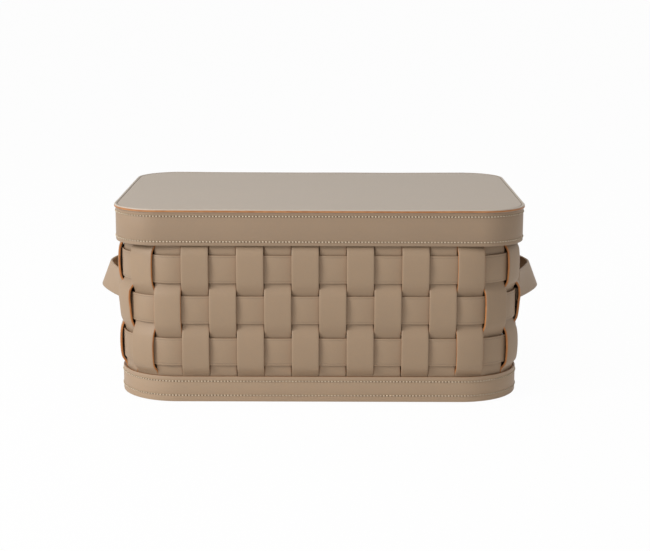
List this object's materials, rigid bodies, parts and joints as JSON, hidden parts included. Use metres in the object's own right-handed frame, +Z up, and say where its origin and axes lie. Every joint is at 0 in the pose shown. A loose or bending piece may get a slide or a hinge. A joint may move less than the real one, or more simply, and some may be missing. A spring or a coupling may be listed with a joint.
{
  "type": "lidded storage basket",
  "caption": "Woven strip basket with sewn foot and rim bands, a strap handle at each end and a lift-off lid.",
  "frame": {"origin": "middle of the underside, where the basket stands", "axes": "+X along the long side, -Y the front, +Z up out of the basket"},
  "size_m": [0.4336, 0.2654, 0.1805],
  "materials": {
    "upright_leather": "smooth fine grain taupe with painted tan edges",
    "weaver_leather": "smooth fine grain taupe",
    "band_leather": "smooth fine grain taupe, two rows of stitches",
    "handle_leather": "smooth fine grain taupe",
    "lid_leather": "smooth fine grain taupe, tan cut edge",
    "skirt_leather": "smooth fine grain taupe, two rows of stitches",
    "board": "stiff board covered in taupe leather cloth",
    "lining": "matt cloth"
  },
  "bodies": {
    "basket": {"base_band": "band_leather", "base_board": "board", "handle_left_ends": "handle_leather", "handle_right_ends": "handle_leather", "rim_band": "band_leather", "upright_01": "upright_leather", "upright_02": "upright_leather", "upright_03": "upright_leather", "upright_04": "upright_leather", "upright_05": "upright_leather", "upright_06": "upright_leather", "upright_07": "upright_leather", "upright_08": "upright_leather", "upright_09": "upright_leather", "upright_10": "upright_leather", "upright_11": "upright_leather", "upright_12": "upright_leather", "upright_13": "upright_leather", "upright_14": "upright_leather", "upright_15": "upright_leather", "upright_16": "upright_leather", "upright_17": "upright_leather", "upright_18": "upright_leather", "upright_19": "upright_leather", "upright_20": "upright_leather", "upright_21": "upright_leather", "upright_22": "upright_leather", "upright_23": "upright_leather", "upright_24": "upright_leather", "upright_25": "upright_leather", "upright_26": "upright_leather", "upright_27": "upright_leather", "upright_28": "upright_leather", "upright_29": "upright_leather", "upright_30": "upright_leather", "upright_31": "upright_leather", "upright_32": "upright_leather", "upright_33": "upright_leather", "upright_34": "upright_leather", "upright_35": "upright_leather", "upright_36": "upright_leather", "upright_37": "upright_leather", "upright_38": "upright_leather", "upright_39": "upright_leather", "upright_40": "upright_leather", "upright_41": "upright_leather", "upright_42": "upright_leather", "upright_43": "upright_leather", "upright_44": "upright_leather", "upright_45": "upright_leather", "upright_46": "upright_leather", "weaver_high": "weaver_leather", "weaver_low": "weaver_leather", "weaver_middle": "weaver_leather"},
    "lid": {"lid_board": "board", "lid_lining": "lining", "lid_skirt": "skirt_leather", "lid_top_sheet": "lid_leather"},
    "grip_right": {"handle_right_grip": "handle_leather"},
    "grip_left": {"handle_left_grip": "handle_leather"}
  },
  "joints": [
    {"name": "lid_lift", "type": "slide", "parent": "basket", "child": "lid", "axis": [0, 0, 1], "range_m": [0, 0.08]},
    {"name": "grip_right_flex", "type": "hinge", "parent": "basket", "child": "grip_right", "pos_m": [0.193, 0, 0.098], "axis": [0, -1, 0], "range_deg": [-30, 20], "stiffness_Nm_per_rad": 0.15},
    {"name": "grip_left_flex", "type": "hinge", "parent": "basket", "child": "grip_left", "pos_m": [-0.193, 0, 0.098], "axis": [0, 1, 0], "range_deg": [-30, 20], "stiffness_Nm_per_rad": 0.15}
  ]
}
